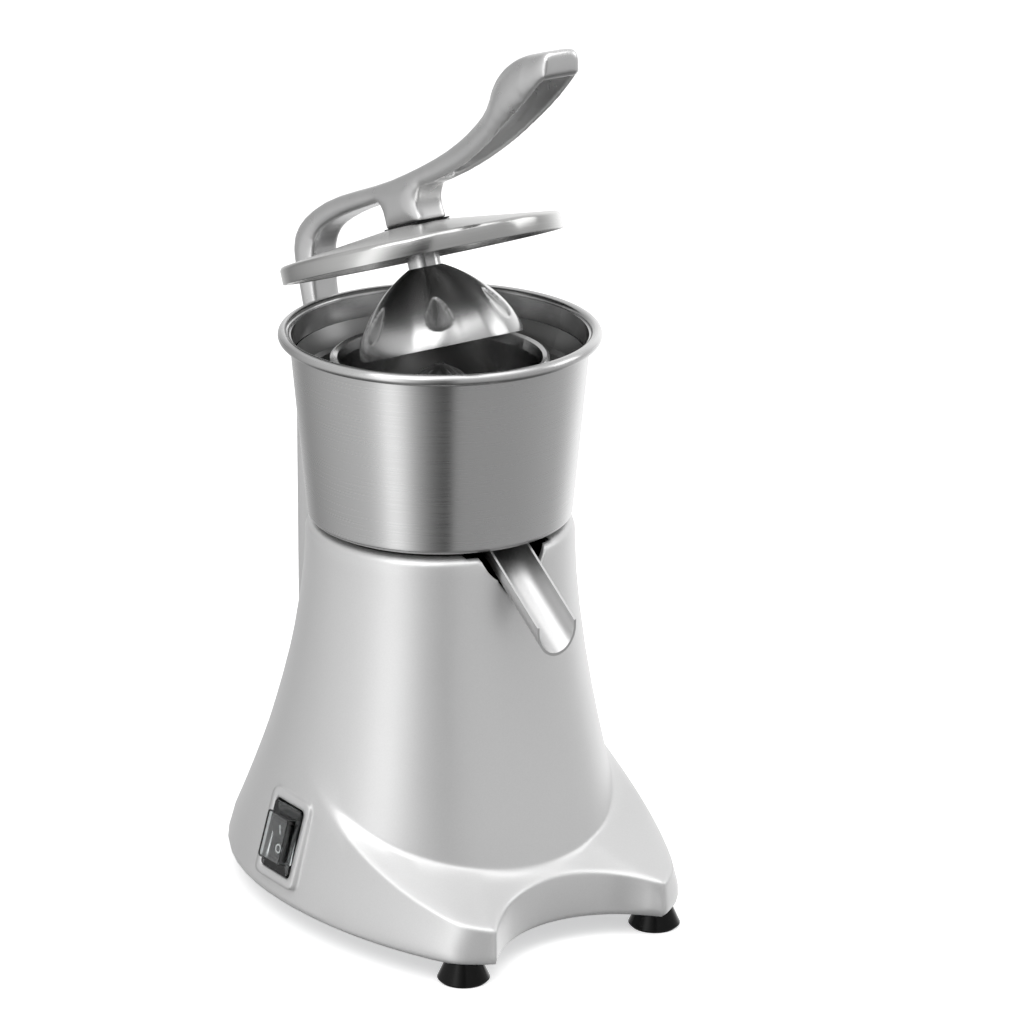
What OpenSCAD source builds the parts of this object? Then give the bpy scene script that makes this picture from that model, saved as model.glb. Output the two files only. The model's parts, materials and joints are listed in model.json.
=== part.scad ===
// Electric citrus press with a hand lever.
// Units are millimetres. +Z is up, -Y is the front with the spout, +X is right seen from the front.
// The origin is on the floor below the drive shaft.

/* [Bowl] */
// Outside diameter of the rolled rim
rim_d = 160; // [150:1:170]
// Height of the bowl from its floor to the top of the rim
bowl_h = 96; // [90:1:104]
// Diameter of the rolled bead of the rim
bead_d = 5.7; // [4:0.1:7]
// Thickness of the pressed steel sheet
sheet = 1; // [0.8:0.1:1.5]

/* [Housing] */
// Height of the shoulder that carries the bowl
body_h = 198; // [185:1:210]
// Width of the base over its sides
base_w = 195; // [185:1:205]
// Length of the base from the leg tips to the back
base_l = 252; // [244:1:262]
// Height of the rubber feet
foot_h = 11.5; // [9:0.5:14]
// Wall thickness of the casting
wall = 3.5; // [3:0.1:4.5]

/* [Lever] */
// How far the lever stands open from the pressed position, in degrees
lever_open = 21; // [15:1:30]
// How far the lever swings back from there, in degrees
lever_back = 62; // [50:1:65]
// Width of the lever leg and arm
lever_w = 20; // [18:0.5:22]
// Distance from the shaft axis to the end of the grip
handle_reach = 155; // [145:1:170]
// Width of the grip
grip_w = 27; // [24:0.5:30]

/* [Press head] */
// Outside diameter of the dome at its rim
dome_d = 82.6; // [78:0.2:86]
// Height of the dome
dome_h = 40.2; // [38:0.2:42]
// Depth of the pressed dimples
dimple = 2.2; // [1.5:0.1:3]
// How far the closed lid sinks into the bowl
lid_sink = 3.2; // [2:0.1:5]

/* [Drive] */
// Diameter of the motor shaft
shaft_d = 10; // [9:0.5:12]
// Diameter of the stator core
stator_d = 96; // [90:1:98]
// Height of the stator core
stack_h = 40; // [34:1:44]

/* [Switch] */
// Position of the switch along the side, towards the back
switch_y = 3.5; // [-5:0.5:10]
// Height of the switch centre
switch_z = 44.5; // [43:0.5:47]
// How far the rocker tips to each side, in degrees
rocker_tip = 9; // [6:1:11]

/* [Fits] */
// Radial clearance of turning fits
run_fit = 0.05; // [0.02:0.01:0.1]
// Clearance around loose pieces
loose = 0.4; // [0.3:0.1:0.6]

/* [Hidden] */
$fn = 96;
eps = 0.02;

// Heights and radii of the bowl and of what follows it
seat_t = 2;
rim_r = rim_d / 2;
bead_r = bead_d / 2;
bowl_z = body_h + seat_t;
rim_z = bowl_z + bowl_h;
bead_z = rim_z - bead_r;
bowl_top_r = rim_r - bead_d + 0.2;
bowl_low_r = 0.8275 * rim_r;
chimney_r = shaft_d / 2 + 6;
chimney_z = bowl_z + 24;
strain_z = chimney_z;
lip_z = rim_z - 14;
lip_r = 0.66 * rim_r;
cup_low_r = lip_r - 6;

// Hinge and press head, in the pressed position
pv_y = rim_r + 24;
pv_z = rim_z - 25;
pin_r = 4;
bush_r = 6;
gasket_t = 0.8;
lid_z = rim_z - lid_sink;
lid_top = lid_z + 16;
head_z = lid_top + gasket_t;
arm_z = head_z + 1.2;
lid_r = bowl_top_r - 4;
boss_w = lever_w + 1.5;
boss_l = 33;
stem_r = 8.25;
dome_top = lid_z - 5.2;
dome_z = dome_top - dome_h;
dome_r = dome_d / 2;
peel_gap = 10;
screw_r = 4;

// Outline of the housing
neck_r = bowl_low_r + 1.3;
neck_z = body_h - 10;
belly_z = foot_h + 8.5;
flare_p = 1.6;
side_r0 = base_w / 2;
rear_y0 = base_l / 2;
front_foot = [side_r0 - 39.5, 20.5 - rear_y0];
leg_side = 14.4;
leg_tip = 12.3;
arc_in = side_r0 - front_foot[0] - leg_side;
arc_r = (pow(arc_in, 2) + pow(front_foot[1], 2)) / (2 * arc_in);
tip_reach = 0.55 * front_foot[0] - 0.835 * front_foot[1] + leg_tip;
arch_r = side_r0 - 34;
arch_y = rear_y0 + 36;
tip_z = foot_h + 19;
tip_y = -rear_y0 + 4;
deck_t = 6;
round_k = 1.6;

// Column behind the bowl
col_w = lever_w + 13;
col_front = rim_r;
col_rear = pv_y + 9;
stop_y = pv_y - 10.8;
slot_w = lever_w / 2 + loose;
leg_back = 7.2;

// Motor
shaft_r = shaft_d / 2;
stator_r = stator_d / 2;
pillar_xy = 38;
pillar_r = 6;
motor_top = body_h - 45;
plate_t = 6;
skirt_h = 14;
stack_top = motor_top - plate_t - skirt_h;
stack_low = stack_top - stack_h;
motor_low = stack_low - skirt_h - plate_t;
bearing_r = shaft_r + 8;
bearing_h = 8;
bolt_r = 2.5;
rotor_r = 27;
air_gap = 0.5;
reamer_z = strain_z + 5;
reamer_tip = dome_top - peel_gap;
reamer_r = 30;
shaft_top = reamer_z + 22;

// Switch panel
panel_tilt = 16.5;
panel_w = 34;
panel_h = 45;
open_w = 26;
open_h = 36;
tip_pin_r = 1.4;
panel_x = -(side_r(switch_z) + 2.2);
rocker_w = 13.6;
rocker_l = 20.4;
win_w = rocker_w + 1.2;
win_l = rocker_l + 2.4;
cover_t = 0.9;
cover_h = 5.8;

// Feet and screws
foot_r = 13;
foot_top_r = 8.3;
rear_foot = [side_r0 - 40.5, rear_y0 - 49];
front_boss = [side_r0 - 35.5, 42 - rear_y0];
rear_boss = [9, pv_y - 8];
gland_z = foot_h + 28.5;
gland_y = max(col_rear, rear_y(gland_z)) + 7.3;
plate_z = foot_h;
base_t = 1.5;

// Spout channel
spout_slope = 34.5;
spout_r = 10.3;
spout_t = 1.2;
spout_depth = 13.5;
spout_end = -neck_r - 33;
spout_gap = 1;
notch_r = 19.8;
notch_up = 4;
well_r = 22;
well_t = 2.5;
well_back = 31;

// Shape functions of the housing

function flare(z) = z >= neck_z ? 0 : pow((neck_z - z) / (neck_z - belly_z), flare_p);
function side_r(z) = neck_r + (side_r0 - neck_r) * flare(max(z, belly_z));
function rear_y(z) = neck_r + (rear_y0 - neck_r) * flare(max(z, belly_z));

// Radius of the bell at angle a from the front: round in front, drawn out behind
function bell_r(a, z) =
  let (n = 2 + 0.12 * flare(max(z, belly_z)), s = side_r(z), r = rear_y(z))
  a <= 90 ? s : pow(pow(sin(a) / s, n) + pow(-cos(a) / r, n), -1 / n);

// Smooth minimum, which rounds the corners where outlines meet
function soft_min(v) = min(v) - round_k * ln(soft_sum(v, min(v), 0));
function soft_sum(v, m, i) = i == len(v) ? 0 : exp((m - v[i]) / round_k) + soft_sum(v, m, i + 1);

// Radius of the skirt: side arc, leg tip and cup arch
function side_arc(a, z) =
  let (in = side_r0 - side_r(z), c = arc_r - side_r0, b = arc_r - in)
  -c * sin(a) + sqrt(b * b - pow(c * cos(a), 2));
function tip_line(a, z) = (tip_reach - 0.08 * (z - foot_h)) / (0.55 * sin(a) + 0.835 * cos(a));
function arch_arc(a) =
  let (s = arch_y * sin(a))
  s > arch_r ? 2 * arch_y : arch_y * cos(a) - sqrt(arch_r * arch_r - s * s);
function skirt_r(a, z) = a >= 90 ? bell_r(a, z) :
  a > 60 ? side_arc(a, z) : soft_min([side_arc(a, z), tip_line(a, z), arch_arc(a)]);

// Height of the apron between the legs and the bell
function apron_z(y) = let (u = min(y, 0) - tip_y) tip_z + 0.25 * u + 0.0014 * u * u;
function mix(a, b, t) = a + (b - a) * t;
function bezier(a, b, c, d, t) =
  let (s = 1 - t) s * s * s * a + 3 * s * s * t * b + 3 * s * t * t * c + t * t * t * d;

// Outside points of the housing at angle a, from the bottom edge up to the shoulder
function outer_rows(a) =
  let (
    low_z = foot_h + 4,
    guess = skirt_r(a, tip_z),
    lip_y = a >= 90 ? 0 : -guess * cos(a),
    lz = apron_z(lip_y) - 1,
    lr = skirt_r(a, lz),
    az0 = apron_z(a >= 90 ? 0 : -side_r(tip_z + 12) * cos(a)),
    az = apron_z(a >= 90 ? 0 : -side_r(az0) * cos(a)) + 3,
    ar = bell_r(a, az),
    w = min(1, max(0, (lr - ar) / 14)),
    p = [lr, lz],
    q = [ar, az],
    b = p + mix((q - p) / 3, [-0.3, 1.7], w),
    c = q + mix((p - q) / 3, [1.6, -4.2], w)
  )
  concat(
    [[skirt_r(a, low_z) - 2.4, foot_h], [skirt_r(a, low_z) - 0.7, foot_h + 1.2]],
    [for (t = [0 : 0.2 : 1.01]) let (z = mix(low_z, lz, t)) [skirt_r(a, z), z]],
    [for (t = [0.15, 0.35, 0.6, 0.85, 1]) bezier(p, b, c, q, t)],
    [for (t = [0.1, 0.22, 0.36, 0.52, 0.7, 0.86, 1]) let (z = mix(az, neck_z, t)) [bell_r(a, z), z]],
    [[neck_r - 0.1, body_h - 5], [neck_r - 1, body_h - 2.4]],
    [[neck_r - 3, body_h - 0.7], [neck_r - 6, body_h]]
  );

// Inside points of the housing at angle a, from the bottom edge up to the deck
function inner_rows(a) =
  let (o = outer_rows(a))
  concat(
    [[o[2][0] - wall, foot_h]],
    [[o[4][0] - wall, o[4][1] - 1]],
    [[o[7][0] - wall, o[7][1] - wall]],
    [[o[9][0] - wall, o[9][1] - wall]],
    [for (i = [12, 14, 16, 17]) [o[i][0] - wall, o[i][1] - 1]],
    [[neck_r - wall, neck_z - 2], [neck_r - wall - 3, body_h - deck_t]]
  );

// Angles of the columns: close together around the leg tips, wider at the back
half_turn = concat(
  [for (a = [0 : 3 : 15]) a],
  [for (a = [16.5 : 1.5 : 33]) a],
  [for (a = [36 : 4.5 : 85.5]) a],
  [for (a = [90 : 7.5 : 180]) a]
);
turn = concat(half_turn, [for (i = [len(half_turn) - 2 : -1 : 1]) -half_turn[i]]);
columns_out = [for (a = turn) outer_rows(abs(a))];
columns_in = [for (a = turn) inner_rows(abs(a))];
function on_col(i, p) = [p[0] * sin(turn[i]), -p[0] * cos(turn[i]), p[1]];

// Building helpers

// Solid through a list of closed rings with equal numbers of points
module loft(rings) {
  n = len(rings[0]);
  m = len(rings);
  polyhedron(
    points = [for (r = rings) each r],
    faces = concat(
      [[for (j = [n - 1 : -1 : 0]) j]],
      [for (i = [0 : m - 2], j = [0 : n - 1]) let (k = (j + 1) % n)
        [i * n + j, i * n + k, (i + 1) * n + k, (i + 1) * n + j]],
      [[for (j = [0 : n - 1]) (m - 1) * n + j]]
    )
  );
}

// Rectangle with round corners, centred
module round_rect(w, h, r) {
  square([w - 2 * r, h], center = true);
  square([w, h - 2 * r], center = true);
  for (x = [-1, 1], y = [-1, 1]) translate([x * (w / 2 - r), y * (h / 2 - r)]) circle(r, $fn = 32);
}

module ring(r_in, r_out, h) {
  difference() {
    cylinder(r = r_out, h = h);
    translate([0, 0, -1]) cylinder(r = r_in, h = h + 2);
  }
}

module along_x(w) rotate([90, 0, 90]) translate([0, 0, -w / 2]) linear_extrude(w) children();

module four_corners(p) for (x = [-1, 1], y = [-1, 1]) translate([x * p, y * p, 0]) children();

module both_sides(p) for (x = [-1, 1]) translate([x * p[0], p[1], 0]) children();

// Puts pieces drawn in the pressed position where the open lever holds them
module lever_pose() translate([0, pv_y, pv_z]) rotate([-lever_open, 0, 0])
  translate([0, -pv_y, -pv_z]) children();

// Places pieces on the switch panel: local z points out of the housing and local y points up the slope
module on_panel() translate([panel_x, switch_y, switch_z]) rotate([0, panel_tilt, 0])
  rotate([90, 0, -90]) children();

// Housing and what is fixed to it

module housing_shell() {
  rows_o = len(columns_out[0]);
  rows_i = len(columns_in[0]);
  loft(concat(
    [for (k = [rows_o - 1 : -1 : 0]) [for (i = [0 : len(turn) - 1]) on_col(i, columns_out[i][k])]],
    [for (k = [0 : rows_i - 1]) [for (i = [0 : len(turn) - 1]) on_col(i, columns_in[i][k])]]
  ));
}

// Column with two ears around the lever leg, open at the back and closed in front as a stop
module column_solid() {
  low = plate_z + base_t;
  intersection() {
    along_x(col_w) {
      translate([col_front, low]) square([col_rear - col_front, pv_z - low]);
      translate([col_front, low]) square([stop_y - col_front, pv_z + 13 - low]);
      translate([pv_y, pv_z]) circle(9);
      translate([stop_y - 2, pv_z - 1]) square([pv_y - stop_y + 2, 9]);
    }
    translate([0, (col_front + col_rear) / 2 - 10, low - 1]) linear_extrude(pv_z)
      round_rect(col_w, col_rear - col_front + 20, 10);
  }
}

module column_slot() {
  along_x(2 * slot_w) {
    translate([pv_y, pv_z]) circle(8.7);
    translate([stop_y, pv_z]) square([40, 40]);
    translate([pv_y, pv_z]) rotate(-lever_open - lever_back) translate([-20, 0])
      square([20 + leg_back + loose, 60]);
  }
}

// Line of the spout, sloping down to the front
module along_spout() translate([0, -36, bowl_z + 15.6]) rotate([90 + spout_slope, 0, 0])
  linear_extrude(90) children();

// Opening in the front wall: a round notch, and below it the way of the spout
module notch_cut() {
  translate([0, -well_back, body_h + notch_up]) rotate([90, 0, 0]) cylinder(r = notch_r, h = neck_r);
  along_spout() spout_profile(spout_r + spout_t + spout_gap, spout_depth + spout_gap);
}

// Room for the well inside the front wall
module well_cut() intersection() {
  translate([0, -well_back, body_h + 1]) rotate([90, 0, 0])
    cylinder(r = well_r + well_t + loose, h = neck_r);
  cylinder(r = neck_r - wall, h = body_h + 1);
}

module housing() color("silver") difference() {
  union() {
    housing_shell();
    column_solid();
    translate([0, 0, motor_top]) four_corners(pillar_xy)
      cylinder(r = pillar_r, h = body_h - deck_t + 2 - motor_top, $fn = 48);
    both_sides(front_boss) translate([0, 0, plate_z + base_t])
      cylinder(r = 4.5, h = apron_z(front_boss[1]) - 2 - plate_z - base_t, $fn = 48);
    on_panel() translate([0, 0, -12]) linear_extrude(12) round_rect(panel_w, panel_h, 4);
    translate([0, col_rear - 4, gland_z]) rotate([-90, 0, 0])
      cylinder(r = 10, h = gland_y - col_rear + 4, $fn = 64);
  }
  column_slot();
  translate([0, pv_y, pv_z]) rotate([0, 90, 0]) cylinder(r = bush_r, h = 60, center = true);
  notch_cut();
  well_cut();
  translate([0, 0, body_h - 20]) cylinder(r = chimney_r, h = 40);
  on_panel() translate([0, 0, -2.5]) linear_extrude(8) round_rect(open_w, open_h, 2.5);
  on_panel() translate([0, 0, -40]) linear_extrude(50) square([22, 31], center = true);
  translate([0, col_front - 10, gland_z]) rotate([-90, 0, 0])
    cylinder(r = 7, h = gland_y - col_front + 20, $fn = 64);
  translate([0, 0, motor_top - 1]) four_corners(pillar_xy) cylinder(r = bolt_r, h = 20, $fn = 32);
  both_sides(front_boss) translate([0, 0, plate_z]) cylinder(r = 1.6, h = 14, $fn = 32);
  both_sides(rear_boss) translate([0, 0, plate_z]) cylinder(r = 1.6, h = 14, $fn = 32);
}

// Bottom outline that fits inside the casting
module plate_outline() polygon([
  for (i = [0 : len(turn) - 1])
    let (r = columns_out[i][2][0] - wall - 2 * loose) [r * sin(turn[i]), -r * cos(turn[i])]
]);

module base_plate() color("dimgray") translate([0, 0, plate_z]) difference() {
  linear_extrude(base_t) plate_outline();
  for (a = [0 : 15 : 345]) rotate(a) translate([34, 0, -1]) linear_extrude(4) round_rect(20, 3.4, 1.6);
  both_sides(front_boss) translate([0, 0, -1]) cylinder(r = 1.8, h = 4, $fn = 32);
  both_sides(rear_boss) translate([0, 0, -1]) cylinder(r = 1.8, h = 4, $fn = 32);
  both_sides(front_foot) translate([0, 0, -1]) cylinder(r = 2, h = 4, $fn = 32);
  both_sides(rear_foot) translate([0, 0, -1]) cylinder(r = 2, h = 4, $fn = 32);
}

module base_screw() {
  translate([0, 0, plate_z - 2]) cylinder(r = 3.2, h = 2, $fn = 48);
  translate([0, 0, plate_z - eps]) cylinder(r = 1.6, h = 12, $fn = 32);
}

module base_screws() color("gainsboro") {
  both_sides(front_boss) base_screw();
  both_sides(rear_boss) base_screw();
}

module foot() color("black") rotate_extrude($fn = 64) polygon([
  [5, 0], [foot_r - 1, 0], [foot_r, 1.2], [foot_top_r + 0.4, foot_h - 0.6], [foot_top_r - 0.3, foot_h],
  [2, foot_h], [2, 5], [5, 5]
]);

module foot_front_left() translate([-front_foot[0], front_foot[1], 0]) foot();
module foot_front_right() translate([front_foot[0], front_foot[1], 0]) foot();
module foot_rear_left() translate([-rear_foot[0], rear_foot[1], 0]) foot();
module foot_rear_right() translate([rear_foot[0], rear_foot[1], 0]) foot();

module foot_screw() {
  translate([0, 0, 2]) cylinder(r = 4, h = 3, $fn = 48);
  translate([0, 0, 5 - eps]) cylinder(r = 2, h = foot_h + base_t - 3, $fn = 32);
  translate([0, 0, plate_z + base_t]) difference() {
    cylinder(r = 4, h = 2.6, $fn = 6);
    translate([0, 0, -1]) cylinder(r = 1.9, h = 5, $fn = 32);
  }
}

module foot_screws() color("gainsboro") {
  both_sides(front_foot) foot_screw();
  both_sides(rear_foot) foot_screw();
}

module cable_gland() color("black") translate([0, gland_y, gland_z]) rotate([90, 0, 0]) difference() {
  union() {
    translate([0, 0, -2.5]) cylinder(r = 9, h = 2.5, $fn = 64);
    cylinder(r = 7, h = 16, $fn = 64);
  }
  translate([0, 0, -5]) cylinder(r = 3.6, h = 30, $fn = 48);
}

// Trough under the outlet of the bowl, which keeps juice out of the housing
module spout_well() color("black") intersection() {
  translate([0, -well_back, body_h + 1]) rotate([90, 0, 0]) difference() {
    cylinder(r = well_r + well_t, h = neck_r);
    translate([0, 0, well_t]) cylinder(r = well_r, h = neck_r);
  }
  translate([0, 0, body_h - 40]) cylinder(r = neck_r - wall - loose, h = 40);
}

// Bowl, spout and strainer

module bowl_seat() color("black") translate([0, 0, body_h]) difference() {
  ring(neck_r - 15, neck_r - 7, seat_t);
  translate([-well_r - 1, -neck_r, -1]) cube([2 * well_r + 2, neck_r - 10, 6]);
}

// Half profile of the bowl: floor, fillet, tapered wall and rolled rim
module bowl() color("lightgray") difference() {
  fillet = 3;
  rotate_extrude() {
    polygon(concat(
      [[chimney_r, bowl_z]],
      [for (a = [-90 : 15 : 0]) [bowl_low_r - fillet + fillet * cos(a), bowl_z + fillet + fillet * sin(a)]],
      [[bowl_top_r, bead_z], [bowl_top_r - sheet, bead_z]],
      [for (a = [0 : -15 : -90])
        [bowl_low_r - fillet + (fillet - sheet) * cos(a), bowl_z + fillet + (fillet - sheet) * sin(a)]],
      [[chimney_r + sheet, bowl_z + sheet], [chimney_r + sheet, chimney_z], [chimney_r, chimney_z]]
    ));
    translate([rim_r - bead_r, bead_z]) circle(bead_r, $fn = 48);
  }
  translate([0, -50, bowl_z - 1]) linear_extrude(4) round_rect(15, 15, 4);
}

module spout_profile(r, low) {
  intersection() {
    translate([0, -low + r]) circle(r, $fn = 64);
    translate([-r, -low]) square([2 * r, r]);
  }
  translate([-r, -low + r - eps]) square([2 * r, low - r + eps]);
}

module spout() color("lightgray") intersection() {
  along_spout() difference() {
    spout_profile(spout_r + spout_t, spout_depth);
    translate([0, 1]) spout_profile(spout_r, spout_depth + 1 - spout_t);
  }
  translate([-40, spout_end, 100]) cube([80, 90, bowl_z - 100]);
}

function bowl_in_r(z) = mix(bowl_low_r, bowl_top_r, (z - bowl_z - 4) / (bead_z - bowl_z - 4)) - sheet;

// Pressed ring between bowl and strainer: wall along the bowl, gutter and upright inner edge
module splash_ring() color("lightgray") {
  t = sheet;
  gut_z = lip_z - 11;
  hug = bowl_in_r(lip_z) - loose;
  hug_low = bowl_in_r(gut_z) - loose - 2.5;
  rotate_extrude() polygon([
    [hug, lip_z + 0.6], [hug_low, gut_z + 2], [hug_low - 2, gut_z], [lip_r + 4.5, gut_z],
    [lip_r + 2.5, gut_z + 2], [lip_r + 0.1, lip_z - 4], [lip_r + 0.1, lip_z - 1.7],
    [lip_r + 0.1 - t, lip_z - 1.7], [lip_r + 0.1 - t, lip_z - 4.2], [lip_r + 1.6, gut_z + 1.4],
    [lip_r + 4, gut_z - t], [hug_low - 1.6, gut_z - t], [hug_low + t, gut_z + 1.6], [hug + 0.3, lip_z - 1]
  ]);
}

// Cup with a rolled lip that hangs on the ring, and a slotted floor
module strainer() color("lightgray") difference() {
  t = sheet;
  rotate_extrude() polygon([
    [lip_r + 1.6, lip_z - 2.6], [lip_r + 1.5, lip_z - 0.9], [lip_r, lip_z], [lip_r - 2, lip_z - 0.8],
    [lip_r - 3, lip_z - 6], [cup_low_r, strain_z + 3], [cup_low_r - 2.4, strain_z + t],
    [chimney_r, strain_z + t], [chimney_r, strain_z], [cup_low_r - 2, strain_z],
    [cup_low_r + t, strain_z + 2.6], [lip_r - 3 + t, lip_z - 6.2], [lip_r - 1.4, lip_z - 1.5],
    [lip_r, lip_z - 1.2], [lip_r + 0.6, lip_z - 1.7], [lip_r + 0.7, lip_z - 2.6]
  ]);
  for (a = [0 : 12 : 348]) rotate(a) translate([(chimney_r + cup_low_r) / 2, 0, strain_z - 1])
    linear_extrude(4) round_rect(cup_low_r - chimney_r - 8, 2.4, 1.1);
}

module shaft_seal() color("black") translate([0, 0, body_h - deck_t])
  ring(shaft_r + run_fit, chimney_r, deck_t + 1.4);

// Motor that hangs under the deck

module bracket_plate() difference() {
  cylinder(r = pillar_xy * sqrt(2) + 7, h = plate_t);
  for (a = [0 : 90 : 270]) rotate(a) translate([31, 0, -1])
    linear_extrude(plate_t + 2) round_rect(16, 34, 5);
  translate([0, 0, -1]) four_corners(pillar_xy) cylinder(r = bolt_r, h = plate_t + 2, $fn = 32);
}

module bracket() difference() {
  union() {
    bracket_plate();
    translate([0, 0, -skirt_h]) ring(stator_r - 3, stator_r + 3, skirt_h);
    translate([0, 0, -8]) cylinder(r = bearing_r + 3, h = plate_t + 8);
  }
  translate([0, 0, -20]) cylinder(r = bearing_r, h = 16 + bearing_h);
  translate([0, 0, -20]) cylinder(r = shaft_r + 2, h = 50);
}

module motor_top_bracket() color("silver") translate([0, 0, motor_top - plate_t]) bracket();

module motor_low_bracket() color("silver") translate([0, 0, motor_low + plate_t])
  mirror([0, 0, 1]) bracket();

module top_bearing() color("gray") translate([0, 0, motor_top - plate_t - 4])
  ring(shaft_r + run_fit, bearing_r, bearing_h);

module low_bearing() color("gray") translate([0, 0, motor_low + plate_t + 4 - bearing_h])
  ring(shaft_r + run_fit, bearing_r, bearing_h);

module stator_core() color("dimgray") translate([0, 0, stack_low]) difference() {
  ring(rotor_r + air_gap, stator_r, stack_h);
  for (a = [0 : 15 : 345]) rotate(a) translate([33, 0, -1])
    linear_extrude(stack_h + 2) round_rect(12, 4, 1.8);
}

module winding() rotate_extrude() translate([36.5, 0]) {
  round_rect(11, 12, 4);
  translate([-5.5, -6]) square([11, 5]);
}

module stator_windings() color("peru") {
  translate([0, 0, stack_top + 6]) winding();
  translate([0, 0, stack_low - 6]) mirror([0, 0, 1]) winding();
}

module motor_bolts() color("gainsboro") four_corners(pillar_xy) {
  translate([0, 0, motor_low - 4]) cylinder(r = 5, h = 4, $fn = 6);
  translate([0, 0, motor_low - eps]) cylinder(r = bolt_r, h = motor_top + 18 - motor_low, $fn = 32);
}

cap_x = side_r0 - 35.5;
cap_y = 22;
cap_r = 16;
cap_z = plate_z + base_t + 1.5 + cap_r;

module run_capacitor() color("white") translate([cap_x, cap_y, cap_z]) rotate([90, 0, 0]) {
  translate([0, 0, -30]) cylinder(r = cap_r, h = 60);
  for (x = [-5, 5]) translate([x, 0, 30 - eps]) cylinder(r = 2, h = 8, $fn = 32);
}

module capacitor_clamp() color("gainsboro") translate([cap_x, cap_y + 6, cap_z]) rotate([90, 0, 0])
linear_extrude(12) difference() {
  union() {
    circle(cap_r + 1.5);
    translate([-cap_r - 8, -cap_r - 1.5]) square([2 * cap_r + 16, 2]);
  }
  circle(cap_r);
}

module terminal_block() color("white") translate([0, col_front - 18, plate_z + base_t])
difference() {
  translate([-18, -8, 0]) cube([36, 16, 13]);
  for (x = [-12, 0, 12]) translate([x, 0, 7]) cylinder(r = 3, h = 10, $fn = 32);
  for (x = [-12, 0, 12]) translate([x, 0, 5]) rotate([90, 0, 0])
    cylinder(r = 2.2, h = 40, center = true, $fn = 32);
}

// Turning parts

module motor_shaft() color("gainsboro") difference() {
  translate([0, 0, motor_low - 26]) cylinder(r = shaft_r, h = shaft_top - motor_low + 26);
  translate([0, 0, shaft_top - 12]) rotate([0, 90, 0]) cylinder(r = 1.5, h = 30, center = true, $fn = 32);
}

module rotor_core() color("dimgray") translate([0, 0, stack_low]) ring(shaft_r, rotor_r, stack_h);

module rotor_cage() color("silver") {
  translate([0, 0, stack_top]) ring(rotor_r - 9, rotor_r - 1, 6);
  translate([0, 0, stack_low - 6]) ring(rotor_r - 9, rotor_r - 1, 6);
}

module cooling_fan() color("black") translate([0, 0, motor_low - 22]) {
  ring(shaft_r, shaft_r + 4, 14);
  translate([0, 0, 10]) ring(shaft_r + 4 - eps, 40, 2);
  for (a = [0 : 40 : 320]) rotate(a) translate([shaft_r + 3.5, -0.8, 1]) cube([36 - shaft_r, 1.6, 9 + eps]);
}

module slinger() color("black") translate([0, 0, bowl_z + 5]) ring(shaft_r, chimney_r - 1.5, 2);

module drive_pin() color("gainsboro") translate([0, 0, shaft_top - 12]) rotate([0, 90, 0])
  cylinder(r = 1.5, h = 22, center = true, $fn = 32);

// Outline of the reamer, a rounded cone
function cone_r(t) = reamer_r * pow(1 - pow(t, 1.75), 0.62);
reamer_h = reamer_tip - reamer_z;
cone_pts = [for (t = [0 : 0.1 : 0.91]) [cone_r(t), 4 + (reamer_h - 6) * t]];

module reamer() color("gainsboro") translate([0, 0, reamer_z]) difference() {
  union() {
    rotate_extrude() polygon(concat(
      [[0, 0], [reamer_r, 0]], cone_pts, [[6, reamer_h - 2.6], [2.5, reamer_h - 1.2], [0, reamer_h - 0.8]]
    ));
    for (a = [0 : 36 : 324]) rotate(a) rotate([90, 0, 0]) translate([0, 0, -1.3]) linear_extrude(2.6)
      polygon(concat(
        [[2, 2], [reamer_r - 1, 3]],
        [for (p = cone_pts) [p[0] + 2.2 - 2 * p[1] / reamer_h, p[1] + 1.6]],
        [[2, reamer_h - 0.4]]
      ));
  }
  translate([0, 0, -1]) ring(shaft_r + 5, reamer_r - 5, 9);
  translate([0, 0, -1]) cylinder(r = shaft_r, h = shaft_top - reamer_z + 1);
  translate([-11, -1.5, -1]) cube([22, 3, shaft_top - 12 - reamer_z + 2.5]);
}

// Switch

module switch_frame() color("black") on_panel() {
  difference() {
    union() {
      translate([0, 0, -2.5]) linear_extrude(2) round_rect(open_w - 2 * loose, open_h - 2 * loose, 2);
      translate([0, 0, -22]) linear_extrude(20) square([22 - 2 * loose, 31 - 2 * loose], center = true);
      for (y = [-9, 0, 9]) translate([-3.2, y - 0.4, -30]) cube([6.4, 0.8, 9]);
    }
    translate([0, 0, -11]) linear_extrude(20) square([win_w, win_l], center = true);
  }
  translate([0, 0, -4]) rotate([0, 90, 0]) for (x = [-7.6, 4.2]) translate([0, 0, x])
    cylinder(r = tip_pin_r, h = 3.4, $fn = 32);
}

module switch_cover() color("azure", 0.4) on_panel() difference() {
  union() {
    translate([0, 0, -0.5]) linear_extrude(1.2) round_rect(open_w - 2, open_h - 2, 2);
    translate([0, 0, 0.5]) linear_extrude(cover_h - 0.5)
      round_rect(win_w + 1.4 + 2 * cover_t, win_l + 2 * cover_t, 1.8);
  }
  translate([0, 0, -1]) linear_extrude(cover_h + 1 - cover_t) round_rect(win_w + 1.4, win_l, 1);
}

// Rocker, drawn with its lower end pushed in
module switch_rocker() color("black") on_panel() translate([0, 0, -4]) rotate([rocker_tip, 0, 0])
rotate([0, 90, 0]) difference() {
  end = rocker_l / 2;
  translate([0, 0, -rocker_w / 2]) linear_extrude(rocker_w) polygon([
    [3, -6], [3, 6], [-2, end - 0.2], [-6, end], [-4.6, 0], [-6, -end], [-2, 0.2 - end]
  ]);
  for (x = [-20, 3.8]) translate([0, 0, x]) cylinder(r = tip_pin_r + run_fit, h = 16.2, $fn = 32);
}

// Lever and press head

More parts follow.
